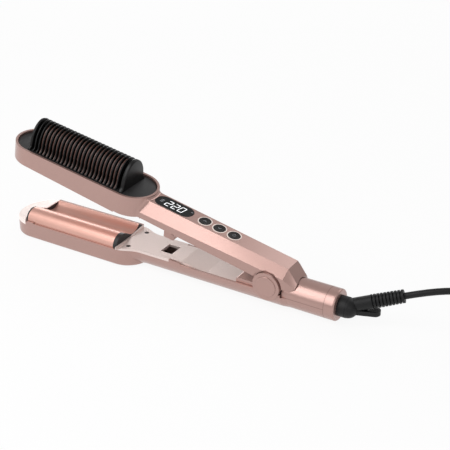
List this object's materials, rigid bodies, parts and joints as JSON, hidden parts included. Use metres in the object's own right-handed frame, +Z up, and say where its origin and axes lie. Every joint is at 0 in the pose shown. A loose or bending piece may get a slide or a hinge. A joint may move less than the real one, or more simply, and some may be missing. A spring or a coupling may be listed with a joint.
{
  "type": "hair waver",
  "caption": "Hair waver with two hinged arms, wavy heated plates, a heated comb on its back, a display and buttons, and a swivelling mains cord.",
  "frame": {"origin": "centre of the body's footprint, on the table it lies on", "axes": "+X runs from the head's tip to the tail, +Y from the comb's near side to its far side, +Z up"},
  "size_m": [0.567, 0.0906, 0.1174],
  "materials": {
    "rose_shell": "satin rose-gold spray paint on ABS",
    "pale_rose": "light rose satin plastic",
    "copper_plate": "rose anodised aluminium, drawn along its length",
    "black_plastic": "matt black heat-proof plastic",
    "brown_teeth": "dark coated aluminium",
    "bare_metal": "plain die-cast or drawn aluminium",
    "steel": "plain steel",
    "light_ring": "pale gloss plastic",
    "display_glass": "smoked clear plastic",
    "green_board": "solder mask",
    "display_body": "white plastic",
    "brass": "plain brass",
    "cord_black": "matt black PVC",
    "heat_ceramic": "insulated heater casing"
  },
  "bodies": {
    "lower_arm": {"lower_shell": "rose_shell", "lower_tip_cap": "pale_rose", "lower_inner_cover": "pale_rose", "lower_wave_plate": "copper_plate", "lower_tip_end_cap": "black_plastic", "lower_rear_end_cap": "black_plastic", "lower_heater": "heat_ceramic", "lower_heater_carrier": "black_plastic", "thermal_fuse": "steel", "lower_cover_screws": "steel", "hinge_pin": "steel", "hinge_spring": "steel", "hinge_cap_front": "rose_shell", "hinge_cap_back": "rose_shell", "hinge_shroud": "rose_shell", "tail_cover": "rose_shell", "tail_collar": "rose_shell", "contact_block": "black_plastic", "contact_rings": "brass", "lower_wires": "cord_black", "lock_retainer": "black_plastic"},
    "lock": {"lock_slider": "black_plastic"},
    "upper_arm": {"upper_shell": "rose_shell", "upper_tip_cover": "rose_shell", "upper_head_cover": "pale_rose", "upper_inner_cover": "pale_rose", "upper_wave_plate": "copper_plate", "upper_tip_end_cap": "black_plastic", "upper_rear_end_cap": "black_plastic", "upper_heater": "heat_ceramic", "upper_heater_leads": "cord_black", "upper_cover_screws": "steel", "latch_hook": "rose_shell", "comb_guard": "black_plastic", "comb_heated_teeth": "brown_teeth", "display_window": "display_glass", "display_module": "display_body", "control_board": "green_board", "tact_switches": "black_plastic", "button_bezels": "light_ring"},
    "up_button": {"button_up": "black_plastic"},
    "down_button": {"button_down": "black_plastic"},
    "power_button": {"button_power": "black_plastic"},
    "cord_swivel": {"swivel_elbow": "cord_black", "strain_relief": "cord_black", "cord_lead": "cord_black", "cord_coil": "cord_black", "cord_tail": "cord_black", "cord_tie": "cord_black", "plug_body": "cord_black", "plug_pins": "brass"}
  },
  "joints": [
    {"name": "arm_hinge", "type": "hinge", "parent": "lower_arm", "child": "upper_arm", "pos_m": [0.1088, 0, 0.022], "axis": [0, -1, 0], "range_deg": [0, 12.1], "stiffness_Nm_per_rad": 1, "springref_deg": -28.65},
    {"name": "lock_slide", "type": "slide", "parent": "lower_arm", "child": "lock", "axis": [-1, 0, 0], "range_m": [0, 0.003]},
    {"name": "cord_turn", "type": "hinge", "parent": "lower_arm", "child": "cord_swivel", "pos_m": [0.17, 0, 0.01425], "axis": [1, 0, 0], "continuous": true},
    {"name": "button_up_press", "type": "slide", "parent": "upper_arm", "child": "up_button", "axis": [-0.1969, 0, -0.9804], "range_m": [0, 0.0005], "stiffness_N_per_m": 400, "springref_m": -0.0015},
    {"name": "button_down_press", "type": "slide", "parent": "upper_arm", "child": "down_button", "axis": [-0.1969, 0, -0.9804], "range_m": [0, 0.0005], "stiffness_N_per_m": 400, "springref_m": -0.0015},
    {"name": "button_power_press", "type": "slide", "parent": "upper_arm", "child": "power_button", "axis": [-0.1969, 0, -0.9804], "range_m": [0, 0.0005], "stiffness_N_per_m": 400, "springref_m": -0.0015}
  ]
}
